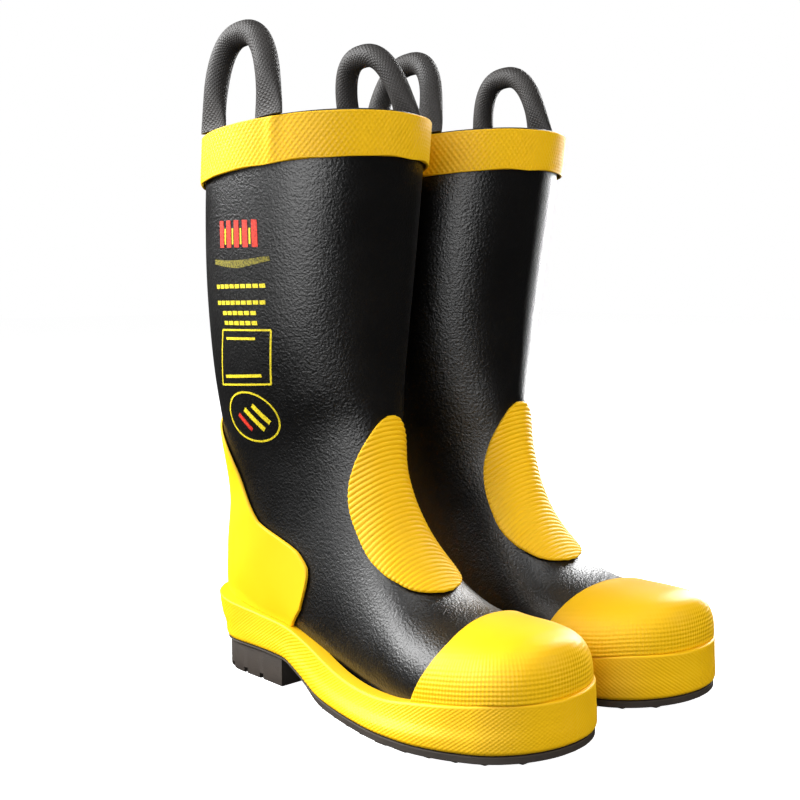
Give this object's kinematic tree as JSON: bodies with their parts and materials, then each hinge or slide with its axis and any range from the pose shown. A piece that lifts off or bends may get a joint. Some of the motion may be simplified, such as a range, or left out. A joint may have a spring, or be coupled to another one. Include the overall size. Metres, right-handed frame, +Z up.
{
  "type": "firefighter boots",
  "caption": "Pair of knee-high black rubber firefighter boots with yellow toe caps, ribbed shin guards, heel counters, foxing and rim bands, and rolled pull loops.",
  "frame": {"origin": "bottom centre of the pair's bounding box, on the ground between the two boots", "axes": "+Z up the shafts; -Y towards the toes; +X to the wearer's left, so the left boot stands at +X"},
  "size_m": [0.2762, 0.3062, 0.432],
  "materials": {
    "black_rubber": "moulded black rubber with a fine leather grain, soft sheen",
    "yellow_rubber": "moulded golden yellow rubber, knurled or ribbed",
    "sole_rubber": "matte black nitrile sole rubber",
    "strap_rubber": "rubbered canvas strap, matte, fine woven texture",
    "knit_lining": "dark cotton knit",
    "pressed_steel": "pressed carbon steel",
    "felt": "needle felt",
    "print_red": "screen-printed red",
    "print_yellow": "screen-printed yellow"
  },
  "bodies": {
    "right_boot": {"right_upper": "black_rubber", "right_lining": "knit_lining", "right_collar_band": "yellow_rubber", "right_toe_cap": "yellow_rubber", "right_steel_toe_cap": "pressed_steel", "right_shin_guard": "yellow_rubber", "right_heel_counter": "yellow_rubber", "right_foxing_band": "yellow_rubber", "right_outsole": "sole_rubber", "right_heel_block": "sole_rubber", "right_steel_midsole_plate": "pressed_steel", "right_lateral_loop_tab": "strap_rubber", "right_medial_loop_tab": "strap_rubber"},
    "right_loose_insole": {"right_insole": "felt"},
    "right_lateral_loop": {"right_lateral_pull_loop": "strap_rubber"},
    "right_medial_loop": {"right_medial_pull_loop": "strap_rubber"},
    "left_boot": {"left_upper": "black_rubber", "left_lining": "knit_lining", "left_collar_band": "yellow_rubber", "left_toe_cap": "yellow_rubber", "left_steel_toe_cap": "pressed_steel", "left_shin_guard": "yellow_rubber", "left_heel_counter": "yellow_rubber", "left_foxing_band": "yellow_rubber", "left_outsole": "sole_rubber", "left_heel_block": "sole_rubber", "left_steel_midsole_plate": "pressed_steel", "left_lateral_loop_tab": "strap_rubber", "left_medial_loop_tab": "strap_rubber"},
    "left_loose_insole": {"left_insole": "felt"},
    "left_lateral_loop": {"left_lateral_pull_loop": "strap_rubber"},
    "left_medial_loop": {"left_medial_pull_loop": "strap_rubber"}
  },
  "joints": [
    {"name": "left_boot_lift", "type": "slide", "parent": "right_boot", "child": "left_boot", "axis": [0, 0, 1], "range_m": [0, 0.45]},
    {"name": "right_lateral_loop_flex", "type": "hinge", "parent": "right_boot", "child": "right_lateral_loop", "pos_m": [-0.131, 0.0655, 0.3678], "axis": [0, -0.9968, 0.0797], "range_deg": [-50, 45], "stiffness_Nm_per_rad": 0.12},
    {"name": "right_medial_loop_flex", "type": "hinge", "parent": "right_boot", "child": "right_medial_loop", "pos_m": [-0.008, 0.0655, 0.3678], "axis": [0, -0.9968, 0.0797], "range_deg": [-13, 41], "stiffness_Nm_per_rad": 0.12},
    {"name": "right_insole_lift", "type": "hinge", "parent": "right_boot", "child": "right_loose_insole", "pos_m": [-0.0645, -0.1225, 0.03], "axis": [1, 0, 0], "range_deg": [0, 9]},
    {"name": "left_lateral_loop_flex", "type": "hinge", "parent": "left_boot", "child": "left_lateral_loop", "pos_m": [0.131, 0.0655, 0.3678], "axis": [0, -0.9968, 0.0797], "range_deg": [-45, 50], "stiffness_Nm_per_rad": 0.12},
    {"name": "left_medial_loop_flex", "type": "hinge", "parent": "left_boot", "child": "left_medial_loop", "pos_m": [0.008, 0.0655, 0.3678], "axis": [0, -0.9968, 0.0797], "range_deg": [-41, 13], "stiffness_Nm_per_rad": 0.12},
    {"name": "left_insole_lift", "type": "hinge", "parent": "left_boot", "child": "left_loose_insole", "pos_m": [0.0645, -0.1225, 0.03], "axis": [1, 0, 0], "range_deg": [0, 9]}
  ]
}
